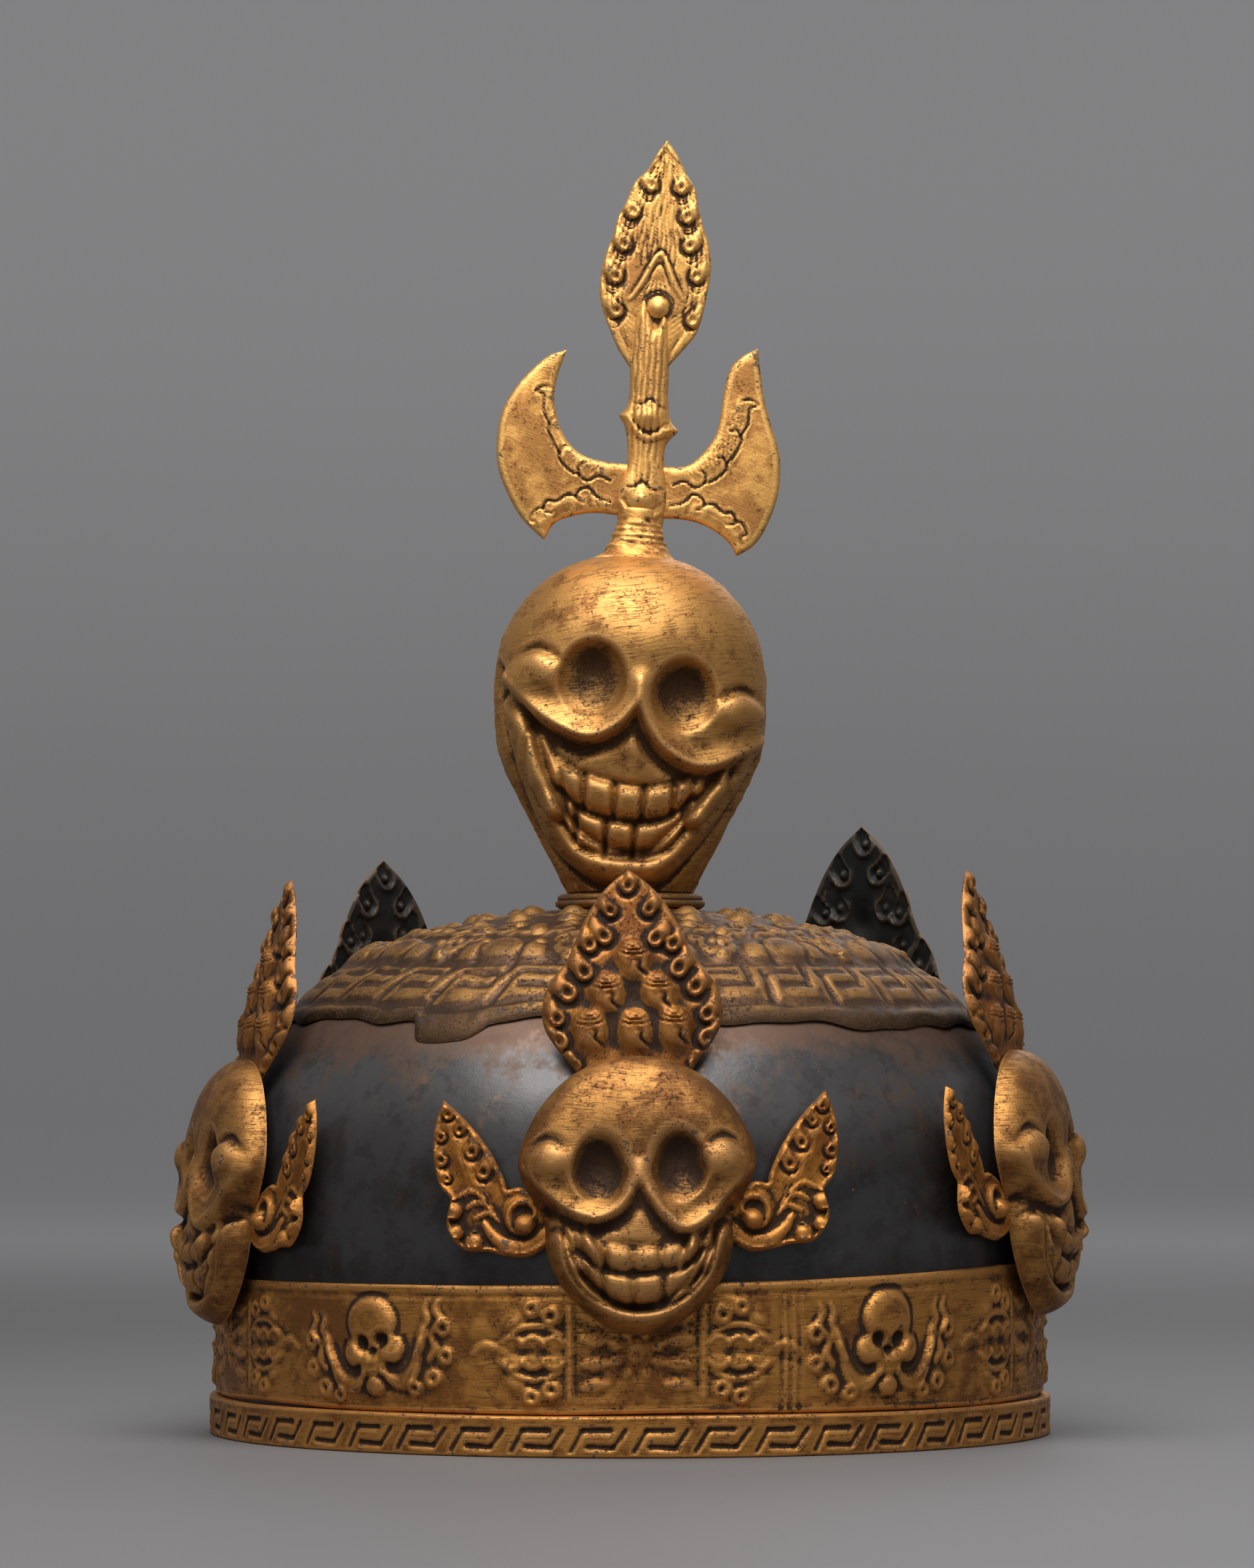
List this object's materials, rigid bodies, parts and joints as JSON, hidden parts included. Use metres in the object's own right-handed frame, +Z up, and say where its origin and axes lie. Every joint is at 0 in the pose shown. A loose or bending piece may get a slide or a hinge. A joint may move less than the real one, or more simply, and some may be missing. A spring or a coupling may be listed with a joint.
{
  "type": "skull crown",
  "caption": "Ritual crown of gilded repousse copper: a dark bowl worn on the head with a chased cap, skull plaques with crests and wings, and a skull and trident finial",
  "frame": {"origin": "centre of the foot's rim, on the surface that the crown stands on", "axes": "+Z up through the finial, -Y towards the front plaque, +X to the viewer's right"},
  "size_m": [0.2289, 0.2226, 0.3281],
  "materials": {
    "gilded_copper": "old gilding worn over copper, dark in the recesses",
    "dark_copper": "blue-black patina, satin, with brown and gold smudges",
    "brown_copper": "chased sheet, gilding mostly worn to brown copper",
    "hidden_copper": "plain dull copper"
  },
  "bodies": {
    "root": {"bowl": "dark_copper", "cap": "brown_copper", "skull_band": "gilded_copper", "foot_rim": "gilded_copper", "collar": "brown_copper", "round_skull": "gilded_copper", "trident": "gilded_copper", "skull_front": "gilded_copper", "crest_front": "gilded_copper", "wing_left_front": "gilded_copper", "wing_right_front": "gilded_copper", "pin_front": "hidden_copper", "skull_right": "gilded_copper", "crest_right": "gilded_copper", "wing_left_right": "gilded_copper", "wing_right_right": "gilded_copper", "pin_right": "hidden_copper", "skull_back_right": "gilded_copper", "crest_back_right": "gilded_copper", "wing_left_back_right": "gilded_copper", "wing_right_back_right": "gilded_copper", "pin_back_right": "hidden_copper", "skull_back_left": "gilded_copper", "crest_back_left": "gilded_copper", "wing_left_back_left": "gilded_copper", "wing_right_back_left": "gilded_copper", "pin_back_left": "hidden_copper", "skull_left": "gilded_copper", "crest_left": "gilded_copper", "wing_left_left": "gilded_copper", "wing_right_left": "gilded_copper", "pin_left": "hidden_copper"}
  },
  "joints": []
}
